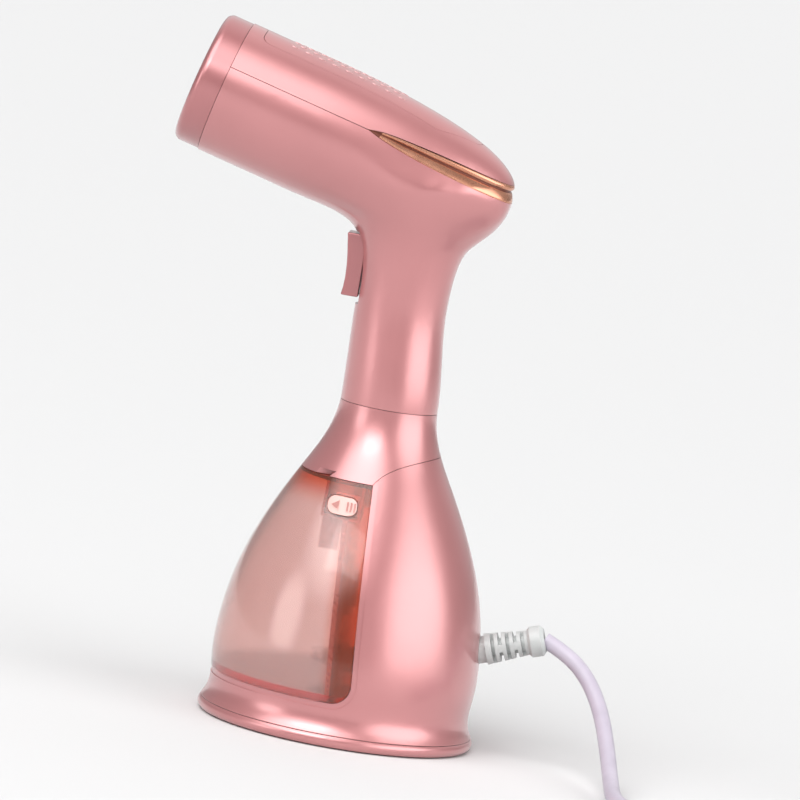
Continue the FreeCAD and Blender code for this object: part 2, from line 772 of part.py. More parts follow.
def bell(inset=0.0, low=HOUSING_FOOT, high=COLLAR_TOP):
    """The solid inside the bell's surface, moved in by an inset, between two heights."""
    points = []
    for i, (radius, height) in enumerate(BELL):
        before = BELL[max(i - 1, 0)]
        after = BELL[min(i + 1, len(BELL) - 1)]
        lean = (after[0] - before[0]) / (after[1] - before[1])
        points.append((radius - inset * math.hypot(1, lean), 0, height))
    curve = smooth_curve(points)
    bottom, top = points[0], points[-1]
    sides = [curve]
    for start, end in ((top, (0, 0, top[2])), ((0, 0, top[2]), (0, 0, bottom[2])),
                       ((0, 0, bottom[2]), bottom)):
        sides.append(Part.LineSegment(Vector(*start), Vector(*end)).toShape())
    solid = Part.Face(Part.Wire(sides)).revolve(Vector(), Z_AXIS, 360)
    if solid.Volume < 0:
        solid.reverse()
    base_radius, top_radius = bottom[0], top[0]
    if low < bottom[2]:
        solid = solid.fuse(Part.makeCylinder(base_radius, bottom[2] - low, Vector(0, 0, low)))
    if high > top[2]:
        solid = solid.fuse(Part.makeCylinder(top_radius, high - top[2], Vector(0, 0, top[2])))
    return solid.common(block(-FAR, FAR, -FAR, FAR, low, high))


def rear_edge(height, shift=0.0):
    """Where the slanting rear edge of the tank is at a height."""
    return dim.tank_edge + (112 - height) * dim.tank_slope + shift


def tank_region(grow=0.0, front=-90):
    low, high = dim.tank_floor - grow, dim.tank_roof + grow
    return side_prism([(front, low, 0), (rear_edge(low, grow), low, dim.tank_corner + grow),
                       (rear_edge(high, grow), high, 0), (front, high, 0)])


def slab_behind(near, far, low, high):
    """A slab parallel to the tank's rear edge, between two distances behind it."""
    return side_prism([(rear_edge(low, near), low, 0), (rear_edge(low, far), low, 0),
                       (rear_edge(high, far), high, 0), (rear_edge(high, near), high, 0)])


def collar_region(lift):
    """Everything above the tank roof and above the sweep at the top of the rear cover."""
    sweep = smooth_curve([(0.6, 0, 112.4 + lift), (5.3, 0, 117.6 + lift), (12.9, 0, 121.9 + lift),
                          (25.8, 0, 126 + lift), (60, 0, 131 + lift)])
    lines = [Vector(60, 0, 131 + lift), Vector(60, 0, 180), Vector(-60, 0, 180),
             Vector(-60, 0, 112.4 + lift), Vector(0.6, 0, 112.4 + lift)]
    edges = [sweep] + [Part.LineSegment(a, b).toShape() for a, b in zip(lines, lines[1:])]
    face = Part.Face(Part.Wire(edges))
    face.translate(Vector(0, -FAR, 0))
    return face.extrude(Vector(0, 2 * FAR, 0))


outer_bell = bell()
inner_bell = bell(dim.body_wall, HOUSING_FOOT - 1, COLLAR_TOP + 1)
hollow_bell = outer_bell.cut(inner_bell)

RELIEF = Placement(Vector(dim.relief_x, 0, dim.relief_z), Rotation(Y_AXIS, -dim.relief_angle))


def boss_places(circle_radius):
    for i in range(4):
        angle = math.radians(45 + 90 * i)
        yield circle_radius * math.cos(angle), circle_radius * math.sin(angle), 45 + 90 * i


def rear_housing_shape():
    shape = hollow_bell.cut(collar_region(-HALF_GAP))
    shape = shape.cut(block(-FAR, 0.6, -FAR, FAR, dim.tank_roof - 5, FAR))
    skin = outer_bell.cut(bell(dim.bezel_step))
    shape = shape.cut(skin.common(tank_region(dim.bezel_width)))
    shape = shape.cut(tank_region(0.25))
    floor_plate = bell(dim.body_wall / 2, 16.8, dim.tank_floor - 0.25)
    shape = shape.fuse(floor_plate.common(block(-FAR, rear_edge(20, 3.2), -FAR, FAR, 0, FAR)))
    for x, y, turn in boss_places(dim.boss_circle):
        rib = block(0, 8.2, -0.8, 0.8, 6, 16.8)
        rib.Placement = turned((x, y, 0), Z_AXIS, turn)
        shape = shape.fuse([rod(3.6, (x, y, dim.plate_top + 0.05), (x, y, 16.9)), rib])
        shape = shape.cut(rod(1.3, (x, y, 0), (x, y, 13)))
    hole = rod(6, (-20, 0, 0), (20, 0, 0))
    hole.Placement = RELIEF
    return shape.cut(hole)


def bulkhead_shape():
    plate = slab_behind(0.8, 2.8, dim.tank_floor - 0.2, dim.tank_roof + 0.3)
    plate = plate.common(bell(dim.body_wall + 0.05))
    return plate.cut(rod(3.1, (-20, 0, dim.valve_height), (40, 0, dim.valve_height)))


def neck_collar_shape():
    shape = hollow_bell.common(collar_region(HALF_GAP))
    deck = bell(dim.body_wall / 2, 112.5, 114.5).common(block(-FAR, 0.3, -FAR, FAR, 100, 130))
    deck = deck.fuse(bell(dim.body_wall + 0.1, 112.5, 114.5).common(block(-FAR, 4.5, -FAR, FAR, 100, 130)))
    spigot = rod(19.1, (0, 0, COLLAR_TOP - 6), (0, 0, COLLAR_TOP + 6)).cut(
        rod(17.3, (0, 0, COLLAR_TOP - 7), (0, 0, COLLAR_TOP + 7)))
    seat = rod(20, (0, 0, COLLAR_TOP - 6), (0, 0, COLLAR_TOP - 3)).cut(
        rod(17.3, (0, 0, COLLAR_TOP - 7), (0, 0, COLLAR_TOP + 7)))
    shape = shape.fuse([deck, spigot, seat])
    for side in (LEFT, RIGHT):
        low, high = sorted((side * (dim.tongue_inner - 3.3), side * (dim.tongue_outer + 0.4)))
        shape = shape.cut(block(-60, -5.6, low, high, 112, 115))
    return shape.common(bell(0, 100, COLLAR_TOP + 8).fuse(rod(19.2, (0, 0, 140), (0, 0, 160))))


free_form("rear_housing", rear_housing_shape())
free_form("bulkhead", bulkhead_shape())
free_form("neck_collar", neck_collar_shape())


def base_ring_shape():
    inner, outer, top = dim.flange_inner, dim.flange_radius, dim.flange_top
    rim = Part.Arc(Vector(outer - 1.3, 0, 0.6), Vector(outer, 0, top / 2), Vector(outer - 0.9, 0, top))
    edges = [rim.toShape()]
    points = [Vector(outer - 0.9, 0, top), Vector(inner, 0, top), Vector(inner, 0, 0.6),
              Vector(outer - 1.3, 0, 0.6)]
    edges += [Part.LineSegment(a, b).toShape() for a, b in zip(points, points[1:])]
    return Part.Face(Part.Wire(edges)).revolve(Vector(), Z_AXIS, 360)


free_form("base_ring", base_ring_shape())
base_plate = revolved("base_plate", [
    (0, "plate_bottom"), ("foot_inner - 0.1", "plate_bottom"), ("foot_inner - 0.1", "foot_thick"),
    ("foot_outer + 0.1", "foot_thick"), ("foot_outer + 0.1", "plate_bottom"),
    ("flange_inner - 0.1", "plate_bottom"), ("flange_inner - 0.1", "plate_top"), (0, "plate_top")], "V_Axis")
BOSS_OFFSET = "boss_circle * sqrt(0.5)"
plate_hole = bored(base_plate, "XY_Plane", BOSS_OFFSET, BOSS_OFFSET, 1.6, "ScrewHole")
ring_of(base_plate, plate_hole, 4)
head_seat = base_plate.newObject("PartDesign::Pocket", "HeadSeat")
head_seat.Profile = circle(base_plate, "XY_Plane", BOSS_OFFSET, BOSS_OFFSET, 3.2, "SeatCircle")
head_seat.Reversed = True
bind(head_seat, Length="screw_seat")
ring_of(base_plate, head_seat, 4)
revolved("foot_ring", [("foot_inner", 0), ("foot_outer", 0), ("foot_outer", "foot_thick"),
                       ("foot_inner", "foot_thick")], "V_Axis")
free_form("base_screws", Part.makeCompound(
    [pan_screw((x, y, dim.screw_seat), (0, 0, 1), 1.3, 2.4, 10)
     for x, y, _ in boss_places(dim.boss_circle)]))


# ---------------------------------------------------------------- water tank

inner_tank = bell(dim.tank_wall, 10, 130)


def button_outline(grow=0.0):
    half_long = dim.button_long / 2 + grow
    half_high = dim.button_high / 2 + grow
    x, z = dim.button_x, dim.button_z
    corner = half_high * 0.86
    return [(x - half_long, z - half_high, corner), (x + half_long, z - half_high, corner),
            (x + half_long, z + half_high, corner), (x - half_long, z + half_high, corner)]


def side_block(side, x0, x1, near, far, z0, z1):
    low, high = sorted((side * near, side * far))
    return block(x0, x1, low, high, z0, z1)


TANK_CEILING = dim.tank_roof - dim.tank_wall


def tank_shell_shape():
    shape = bell(0, 10, 130).common(tank_region())
    hollow = inner_tank.common(block(-FAR, FAR, -FAR, FAR, dim.tank_floor + dim.tank_base, TANK_CEILING))
    shape = shape.cut(hollow)
    for side in (LEFT, RIGHT):
        window = side_prism(button_outline(0.3), 12, side * 36)
        shape = shape.cut(window)
        shape = shape.cut(side_block(side, -15, -5.6, dim.tongue_inner - 3.2, dim.tongue_outer + 0.4,
                                     105, 120))
    return shape


def pocket_outer(side):
    return side_block(side, -19, -2, 19.5, 42, 95.8, TANK_CEILING)


def button_pocket_shape(side):
    """The dry pocket round a latch button, with a cup for its spring and a skirt under it."""
    pocket = pocket_outer(side).cut(side_block(side, -17.8, -3.2, 20.7, 45, 97, TANK_CEILING + 1))
    skirt = side_block(side, -18, -9.6, 33, 34.5, 82, 97)
    cup = rod(4, (dim.button_x, side * 16.4, 102), (dim.button_x, side * 21, 102))
    shape = pocket.fuse([skirt, cup])
    shape = shape.cut(rod(2.9, (dim.button_x, side * 17.6, 102), (dim.button_x, side * 22, 102)))
    return shape.common(bell(dim.tank_wall + 0.02, 60, 130))


def tank_back_shape():
    rim = dim.tank_rim
    plate = slab_behind(-rim - 2, -rim, dim.tank_floor + dim.tank_base, TANK_CEILING).common(inner_tank)
    plate = plate.cut(rod(6.02, (-30, 0, dim.valve_height), (30, 0, dim.valve_height)))
    filler = rod(dim.filler_radius, (-10, 0, 0), (10, 0, 0))
    filler.Placement = back_frame(dim.filler_height)
    plate = plate.cut(filler)
    for side in (LEFT, RIGHT):
        plate = plate.cut(side_block(side, -19, -2, 19.5, 45, 95.8, 120))
        plate = plate.cut(rod(4.02, (dim.button_x, side * 16.3, 102), (dim.button_x, side * 21, 102)))
    return plate


def back_frame(height):
    """On the rear face of the tank's back wall, X pointing out of it."""
    lean = math.degrees(math.atan(dim.tank_slope))
    return turned((rear_edge(height, -dim.tank_rim), 0, height), Y_AXIS, -lean)


def filler_cap_shape():
    plug = rod(dim.filler_radius - 0.15, (-3.5, 0, 0), (0, 0, 0))
    flange = rod(dim.filler_radius + 2.5, (0, 0, 0), (2.2, 0, 0))
    tab = block(0, 2.2, -4, 4, 9, 16)
    ridge = block(2.2, 4.6, -1, 1, -8, 8)
    return plug.fuse([flange, tab, ridge]).cut(rod(6.5, (-5, 0, 0), (-1, 0, 0)))


free_form("tank_shell", tank_shell_shape())
free_form("tank_back", tank_back_shape())
free_form("filler_cap", filler_cap_shape(), back_frame(dim.filler_height))
free_form("button_pockets", Part.makeCompound([button_pocket_shape(LEFT), button_pocket_shape(RIGHT)]))

VALVE = turned((rear_edge(dim.valve_height), 0, dim.valve_height), Y_AXIS, 0)
revolved("valve_body", [(-14, 1.7), (-14, 5), (-11.4, 6), ("0.7 - tank_rim", 6),
                        ("0.7 - tank_rim", 8.2), (-7.4, 8.2),
                        (-7.4, 6), (-1, 6), (-1, 3.5), (-7.4, 3.5), (-7.4, 1.7)], place=VALVE)
revolved("valve_poppet", [(-17, 0), (-17, 3.6), (-15.2, 3.6), (-14.2, 1.4), (-9, 1.4), (-9, 0)], place=VALVE)
valve_spring = coil_spring(2.6, 0.6, 3, 4.5)
free_form("valve_spring", valve_spring, VALVE.multiply(turned((-17.4, 0, 0), Y_AXIS, -90)))


def button_shape(side):
    """A latch button whose face follows the tank, with an arrow, grip lines and a tongue."""
    grown = bell(-dim.button_proud, 60, 130)
    pad = side_prism(button_outline(), 4.8, side * 35.8).common(grown)
    flange = side_block(side, -17.4, -3.6, 31, 32.6, 97.4, 106.6).common(bell(dim.tank_wall + 0.4, 60, 130))
    stem = side_block(side, -13.5, -7.2, dim.tongue_outer - 0.5, 31.5, 99.5, 104.5)
    tongue = side_block(side, -14, -7, dim.tongue_inner, dim.tongue_outer, 99.5, 114)
    spigot = rod(1.6, (dim.button_x, side * 23, 102), (dim.button_x, side * 25, 102))
    arrow = side_prism([(-15.4, dim.button_z, 0), (-12.2, dim.button_z - 2, 0), (-12.2, dim.button_z + 2, 0)],
                       10, side * 37)
    ribs = [side_block(side, x, x + 0.7, 32, 45, dim.button_z - 2, dim.button_z + 2)
            for x in (-8.6, -7, -5.4)]
    raised = bell(-dim.button_proud - 0.4, 60, 130)
    marks = [piece.common(raised).cut(bell(1, 60, 130)) for piece in [arrow] + ribs]
    return pad.fuse([flange, stem, tongue, spigot] + marks)


for name, side in (("left", LEFT), ("right", RIGHT)):
    free_form("release_button_" + name, button_shape(side))
    spring = coil_spring(2.2, 0.6, 3, 3.6)
    free_form("button_spring_" + name, spring, along((dim.button_x, side * 24.45, 102), (0, -side, 0)))


# ---------------------------------------------------------------- water path and electrics in the rear

revolved("dock_nozzle", [(-6, 1.5), (-6, 2.5), (-5, 2.9), (0, 2.9), (0, 5.5), (0.3, 5.5), (0.3, 3.05),
                         (3.2, 3.05), (3.2, 2.5), (9, 2.2), (9, 1.5)], place=VALVE)
revolved("dock_seal", [(-4.2, 2.9), (-4.2, 3.35), (-2.8, 3.35), (-2.8, 2.9)], place=VALVE)

PUMP = turned((dim.pump_x, 0, dim.pump_bottom), Z_AXIS, 0)
revolved("pump_body", [(1.5, 0), (2.4, 0), (2.4, 6), ("pump_radius", 8), ("pump_radius", 42), (2.4, 44),
                       (2.4, 50), (1.5, 50)], "V_Axis", PUMP)
revolved("pump_coil", [("pump_radius + 0.1", 12.2), ("coil_radius", 12.2), ("coil_radius", 35.8),
                       ("pump_radius + 0.1", 35.8)], "V_Axis", PUMP)


def pump_bracket_shape():
    frame = block(-17.5, 14.5, -11, 11, 10.6, 37.4).cut(block(-16, 20, -12, 12, 12.1, 35.9))
    return frame.cut(rod(dim.pump_radius + 0.1, (0, 0, 5), (0, 0, 45)))


free_form("pump_bracket", pump_bracket_shape(), PUMP)


def pump_mount(z):
    return rod(11, (0, 0, z), (0, 0, z + 2.2)).cut(rod(dim.pump_radius + 0.05, (0, 0, z - 1), (0, 0, z + 4)))


free_form("pump_mounts", Part.makeCompound([pump_mount(8.3), pump_mount(37.5)]), PUMP)


def circuit_board_shape():
    board = block(0, 1.6, -20, 20, 0, 22)
    for y in (-17, 17):
        for z in (3, 19):
            board = board.cut(rod(1.6, (-1, y, z), (3, y, z)))
    return board


def board_component_shapes():
    relay = block(1.6, 10, -12, 2, 3, 17)
    capacitor = rod(3.4, (1.6, 8, 7), (10.6, 8, 7))
    terminals = block(1.6, 8, 4.5, 13, 13, 19)
    return Part.makeCompound([relay, capacitor, terminals])


BOARD = turned((11, 0, 87), Y_AXIS, 0)
free_form("circuit_board", circuit_board_shape(), BOARD)
free_form("board_components", board_component_shapes(), BOARD)

HOSE_RADIUS = 2.5
HARNESS_RADIUS = 2.2
valve_x = rear_edge(dim.valve_height)
inlet, _ = tube([(valve_x + 9.1, 0, dim.valve_height), (dim.pump_x, 0, dim.valve_height),
                 (dim.pump_x, 0, dim.pump_bottom - 0.05)], HOSE_RADIUS, 1.5)
free_form("inlet_hose", inlet)
heater_inlet = HEAD.multVec(Vector(dim.block_length + 6.05, 0, -9))
heater_way = HEAD.Rotation.multVec(X_AXIS)
outlet, _ = tube([(dim.pump_x, 0, dim.pump_bottom + 50.1), (dim.pump_x, -1, 96), (21, -4, 112),
                  (10, -6, 132), (6.5, -6, 156), (6, -6, 182), (4, -6, 206), (-4, -5, 226),
                  tuple(heater_inlet + heater_way * 24 - Y_AXIS * 1.5), tuple(heater_inlet)],
                 HOSE_RADIUS, 1.5)
free_form("outlet_hose", outlet)
harness, _ = tube([(19, 9, 110), (15.5, 8, 124), (9.5, 7, 142), (7, 6.5, 164), (6.5, 6.5, 188),
                   (4.5, 6.5, 212),
                   (-6, 6, 233), (-24, 5, 246), (-40, 4, 254)], HARNESS_RADIUS)
free_form("wire_harness", harness)


def strain_relief_shape():
    """A moulded relief: a flanged root, a ribbed taper and a smooth round end, along +X."""
    length = dim.relief_length
    bulb = 6.8
    profile = [(-15, 0), (-15, 3.5), (-7.4, 3.5), (-7.4, 8), (-5.9, 8), (-5.9, 5.9), (2.6, 5.9), (2.7, 6.9),
               (4, 6.8), (length - 7.4, 5.4), (length - 7.4, bulb - 1.2), (length - 6.2, bulb),
               (length - 1.6, bulb), (length, bulb - 1.6), (length, 0)]
    points = [Vector(a, 0, r) for a, r in profile] + [Vector(profile[0][0], 0, 0)]
    solid = Part.Face(Part.makePolygon(points)).revolve(Vector(), X_AXIS, 360)
    if solid.Volume < 0:
        solid.reverse()
    slot, web = 1.6, 1.7
    for i, at in enumerate((5.4, 8.7, 12.0, 15.3, 18.6)):
        for side in (LEFT, RIGHT):
            low, high = sorted((side * web, side * 12))
            across = (-12, 12, low, high) if i % 2 else (low, high, -12, 12)
            gap = block(at, at + slot, *across)
            gap = gap.cut(rod(3.9, (0, 0, 0), (40, 0, 0)))
            solid = solid.cut(gap)
    return solid


free_form("strain_relief", strain_relief_shape(), RELIEF)


def cord_clamp_shape():
    saddle = block(-14.5, -8.5, -9.5, 9.5, 0.4, 6.5).cut(rod(3.5, (-20, 0, 0), (0, 0, 0)))
    base = block(-14.5, -8.5, -9.5, 9.5, -6.5, -0.4).cut(rod(3.5, (-20, 0, 0), (0, 0, 0)))
    for y in (-6.8, 6.8):
        saddle = saddle.cut(rod(1.4, (-11.5, y, 0), (-11.5, y, 8)))
        base = base.cut(rod(1.4, (-11.5, y, -5), (-11.5, y, 0)))
    return Part.makeCompound([saddle, base])


free_form("cord_clamp", cord_clamp_shape(), RELIEF)
free_form("clamp_screws", Part.makeCompound(
    [pan_screw((-11.5, y, 6.5), (0, 0, -1), 1.35, 2.4, 11) for y in (-6.8, 6.8)]), RELIEF)


# ---------------------------------------------------------------- lead and plug

CORD_RADIUS = dim.cord_diameter / 2
relief_end = RELIEF.multVec(Vector(dim.relief_length, 0, 0))
COIL_HALF_WIDE = dim.coil_turns_wide * CORD_RADIUS
COIL_HIGH = dim.coil_turns_high * dim.cord_diameter
COIL_CENTRE = Vector(dim.coil_x, dim.coil_y, 0)
COIL_OUTER = dim.coil_mean + COIL_HALF_WIDE
lead_points = [tuple(relief_end), (96.4, -1.4, 50.2), (107.2, -6.4, 41.2), (115.2, -18.6, 29.4),
               (120.6, -37, 17), (124.6, -60, 7.4), (127.6, -84, 3.5), (136.5, -101.5, 3.5),
               (152, -111.2, 3.5), (172, -113, 3.5), (198, -111.5, 3.5), (226, -111.2, 3.5), (248, -113, 3.5)]
tail_points = [(305, -64, 10.5), (305, -46, 9.5), (301.5, -28, 6.5), (294, -12, 6), (282.5, 1, 8.5)]
lead_radii = []
lead, lead_length = tube(lead_points, CORD_RADIUS, radii=lead_radii)
tail, tail_length = tube(tail_points, CORD_RADIUS, radii=lead_radii)
free_form("power_cord", Part.makeCompound([lead, tail]))
section = math.pi * CORD_RADIUS ** 2
print("cord radii", [round(radius) for radius in lead_radii])
print("cord tube volume", round(lead.Volume + tail.Volume), "section times length",
      round(section * (lead_length + tail_length)))
coil_length = math.tau * dim.coil_mean * dim.coil_turns_wide * dim.coil_turns_high
print("cord length", round(lead_length + coil_length + tail_length))

coil_ring = rod(COIL_OUTER, (0, 0, 0), (0, 0, COIL_HIGH)).cut(
    rod(dim.coil_mean - COIL_HALF_WIDE, (0, 0, -1), (0, 0, COIL_HIGH + 1)))
coil_edges = [edge for edge in coil_ring.Edges if isinstance(edge.Curve, Part.Circle)]
free_form("cord_coil", coil_ring.makeFillet(CORD_RADIUS - 0.1, coil_edges), turned(COIL_CENTRE, Z_AXIS, 0))


def cord_tie_shape():
    """A flat strap once round the bundle, with a twisted tail."""
    wide = 2 * COIL_HALF_WIDE + 2.4
    strap = block(-4, 4, -wide / 2, wide / 2, 0, COIL_HIGH + 1.2)
    strap = strap.cut(block(-5, 5, -wide / 2 + 0.8, wide / 2 - 1.2, -1, COIL_HIGH))
    return strap


TIE = turned(COIL_CENTRE + Vector(0, dim.coil_mean, 0), Z_AXIS, 0)
free_form("cord_tie", cord_tie_shape(), TIE)

PLUG_HIGH = 17
PLUG_REACH = 41
boot_end, boot_before = Vector(*tail_points[-1]), Vector(*tail_points[-2])
plug_way = Vector(boot_end.x - boot_before.x, boot_end.y - boot_before.y, 0).normalize()
PLUG = turned(boot_end + plug_way * PLUG_REACH, Z_AXIS, math.degrees(math.atan2(plug_way.y, plug_way.x)))


def plug_body_shape():
    """A flat two-pin plug lying on its side, pins towards +X and the lead leaving towards -X."""
    wire = rounded_wire([(-20, -8, 6), (-6, -18, 8), (4, -18, 3), (4, 18, 3), (-6, 18, 8), (-20, 8, 6)],
                        lambda a, b: Vector(a, b, -PLUG_HIGH / 2))
    slab = Part.Face(wire).extrude(Vector(0, 0, PLUG_HIGH))
    flat = [edge for edge in slab.Edges if abs(abs(edge.BoundBox.ZMax) - PLUG_HIGH / 2) < 0.01
            and edge.BoundBox.ZLength < 0.01]
    slab = slab.makeFillet(2.5, flat)
    boot = Part.makeCone(6, 4.4, 22, Vector(-19, 0, 0), -X_AXIS)
    return slab.fuse(boot)


free_form("plug_body", plug_body_shape(), PLUG)


def plug_pin(side):
    y = side * dim.plug_pin_gap / 2
    tip = 1.2
    shank = rod(dim.plug_pin_radius, (4, y, 0), (4 + dim.plug_pin_length - tip, y, 0))
    point = Part.makeCone(dim.plug_pin_radius, dim.plug_pin_radius - tip, tip,
                          Vector(4 + dim.plug_pin_length - tip, y, 0), X_AXIS)
    return shank.fuse(point)


free_form("plug_pins", Part.makeCompound([plug_pin(LEFT), plug_pin(RIGHT)]), PLUG)


# ---------------------------------------------------------------- check and write

doc.recompute()
for item in doc.Objects:
    if "Invalid" in item.State or "Error" in item.State:
        raise RuntimeError(f"{item.Label}: {item.State}")
os.makedirs("parts", exist_ok=True)
faulty = [piece.Label for piece in nodes
          if piece.Shape.isNull() or not piece.Shape.isValid() or not piece.Shape.Solids]
if faulty:
    raise RuntimeError(f"no valid solid: {faulty}")
for piece in nodes:
    piece.Shape.exportStep(f"parts/{piece.Label}.step")
print(len(nodes), "pieces")
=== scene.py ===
"""Looks of the handheld garment steamer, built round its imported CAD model. Metres, +Z up."""
import json
import math

import bmesh
import bpy
import numpy as np
from mathutils import Matrix, Vector
from mathutils.bvhtree import BVHTree


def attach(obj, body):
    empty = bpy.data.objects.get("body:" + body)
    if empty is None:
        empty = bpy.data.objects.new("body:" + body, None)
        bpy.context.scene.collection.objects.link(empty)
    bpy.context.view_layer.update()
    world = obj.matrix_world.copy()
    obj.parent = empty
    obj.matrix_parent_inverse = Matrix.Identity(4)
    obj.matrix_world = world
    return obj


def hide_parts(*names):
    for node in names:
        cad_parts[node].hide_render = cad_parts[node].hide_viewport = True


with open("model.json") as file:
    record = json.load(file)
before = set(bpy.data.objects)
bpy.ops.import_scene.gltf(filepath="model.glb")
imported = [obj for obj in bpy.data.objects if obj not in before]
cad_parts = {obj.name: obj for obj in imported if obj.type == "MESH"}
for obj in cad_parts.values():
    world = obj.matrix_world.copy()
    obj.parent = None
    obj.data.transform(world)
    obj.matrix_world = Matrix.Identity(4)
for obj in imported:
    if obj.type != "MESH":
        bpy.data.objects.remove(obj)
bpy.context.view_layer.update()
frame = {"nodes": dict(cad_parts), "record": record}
nodes = frame["nodes"]
MM = 0.001


def link(obj):
    bpy.context.scene.collection.objects.link(obj)
    return obj


def mesh_piece(name, points, faces, smooth=True):
    mesh = bpy.data.meshes.new(name)
    mesh.from_pydata([tuple(point) for point in points], [], [tuple(face) for face in faces])
    mesh.update()
    shape = bmesh.new()
    shape.from_mesh(mesh)
    bmesh.ops.recalc_face_normals(shape, faces=shape.faces)
    shape.to_mesh(mesh)
    shape.free()
    for polygon in mesh.polygons:
        polygon.use_smooth = smooth
    return link(bpy.data.objects.new(name, mesh))


# ---------------------------------------------------------------- camera, floor and light

CAMERA_DISTANCE = 3.0
CAMERA_RISE = math.radians(6.3)
CAMERA_TURN = math.radians(3.0)
CAMERA_ROLL = math.radians(9.8)
CAMERA_LENS = 309.2
TARGET = Vector((0.0043, 0, 0.1475))


def make_camera():
    data = bpy.data.cameras.new("camera")
    data.lens = CAMERA_LENS
    data.sensor_width = 36
    data.clip_end = 100
    camera = link(bpy.data.objects.new("camera", data))
    back = Vector((math.sin(CAMERA_TURN) * math.cos(CAMERA_RISE),
                   -math.cos(CAMERA_TURN) * math.cos(CAMERA_RISE), math.sin(CAMERA_RISE)))
    right = Vector((math.cos(CAMERA_TURN), math.sin(CAMERA_TURN), 0))
    up = back.cross(right)
    turn = Matrix((right, up, back)).transposed().to_4x4() @ Matrix.Rotation(CAMERA_ROLL, 4, "Z")
    camera.matrix_world = Matrix.Translation(TARGET + back * CAMERA_DISTANCE) @ turn
    bpy.context.scene.camera = camera


FLOOR_HALF = 20
FLOOR_COLOUR = (0.62, 0.62, 0.622, 1)
FLOOR_ROUGHNESS = 0.9
KEY_PLACE, KEY_AIM = Vector((-0.5, -1.6, 1.3)), Vector((0, 0, 0.18))
KEY_SIZE = (1.2, 0.5)
KEY_POWER = 7
AMBIENT = 0.26
# towards the light, half-angles in degrees where it is full and where it ends, and strength
SOFT_BOXES = [((0.90, -0.42, 0.26), 19, 38, 3.3), ((-0.30, -0.52, 0.80), 16, 40, 3.9),
              ((-0.84, -0.54, 0.16), 7, 17, 3.0), ((0.1, 0.9, 0.8), 14, 50, 0.6)]


def make_key_light():
    data = bpy.data.lights.new("key", "AREA")
    data.shape = "RECTANGLE"
    data.size, data.size_y = KEY_SIZE
    data.energy = KEY_POWER
    lamp = link(bpy.data.objects.new("key", data))
    turn = (KEY_PLACE - KEY_AIM).to_track_quat("Z", "Y").to_matrix().to_4x4()
    lamp.matrix_world = Matrix.Translation(KEY_PLACE) @ turn


def make_stage():
    mesh = bpy.data.meshes.new("floor")
    half = FLOOR_HALF
    corners = [(-half, -half, 0), (half, -half, 0), (half, half, 0), (-half, half, 0)]
    mesh.from_pydata(corners, [], [(0, 1, 2, 3)])
    floor = link(bpy.data.objects.new("floor", mesh))
    paper = bpy.data.materials.new("floor")
    paper.use_nodes = True
    shader = paper.node_tree.nodes["Principled BSDF"]
    shader.inputs["Base Color"].default_value = FLOOR_COLOUR
    shader.inputs["Roughness"].default_value = FLOOR_ROUGHNESS
    mesh.materials.append(paper)
    make_world()
    bpy.context.scene.view_settings.view_transform = "Standard"
    make_key_light()


def make_world():
    """A dim even surround with round soft lights far away, so that the floor is lit evenly."""
    world = bpy.data.worlds.new("studio")
    world.use_nodes = True
    tree = world.node_tree
    background = tree.nodes["Background"]
    background.inputs["Color"].default_value = (1, 1, 1, 1)
    place = tree.nodes.new("ShaderNodeTexCoord")
    total = None
    for way, full, end, strength in SOFT_BOXES:
        facing = tree.nodes.new("ShaderNodeVectorMath")
        facing.operation = "DOT_PRODUCT"
        facing.inputs[1].default_value = Vector(way).normalized()
        tree.links.new(place.outputs["Generated"], facing.inputs[0])
        glow = tree.nodes.new("ShaderNodeMapRange")
        glow.interpolation_type = "SMOOTHSTEP"
        glow.inputs["From Min"].default_value = math.cos(math.radians(end))
        glow.inputs["From Max"].default_value = math.cos(math.radians(full))
        glow.inputs["To Min"].default_value = 0 if total else AMBIENT
        glow.inputs["To Max"].default_value = strength + (0 if total else AMBIENT)
        tree.links.new(facing.outputs["Value"], glow.inputs["Value"])
        if total is None:
            total = glow.outputs["Result"]
            continue
        add = tree.nodes.new("ShaderNodeMath")
        tree.links.new(total, add.inputs[0])
        tree.links.new(glow.outputs["Result"], add.inputs[1])
        total = add.outputs["Value"]
    tree.links.new(total, background.inputs["Strength"])
    bpy.context.scene.world = world


# ---------------------------------------------------------------- lead

CORD_RADIUS = 0.0035
LEAD_MM = [(84.83, 0, 54.71), (96.4, -1.4, 50.2), (107.2, -6.4, 41.2), (115.2, -18.6, 29.4), (120.6, -37, 17),
           (124.6, -60, 7.4), (127.6, -84, 3.5), (136.5, -101.5, 3.5), (152, -111.2, 3.5), (172, -113, 3.5),
           (198, -111.5, 3.5), (226, -111.2, 3.5)]
TAIL_MM = [(305, -46, 9.5), (301.5, -28, 6.5), (294, -12, 6), (282.5, 1, 8.5)]
COIL_CENTRE = Vector((258, -66, 0)) * MM
COIL_MEAN = 0.040
TURNS_WIDE = 3
TURNS_HIGH = 2
TURN_STEPS = 16
# turns at which the coil starts to climb to its upper layer, and the turns that the climb takes
RISE_START, RISE_TURNS = 2.25, 0.5


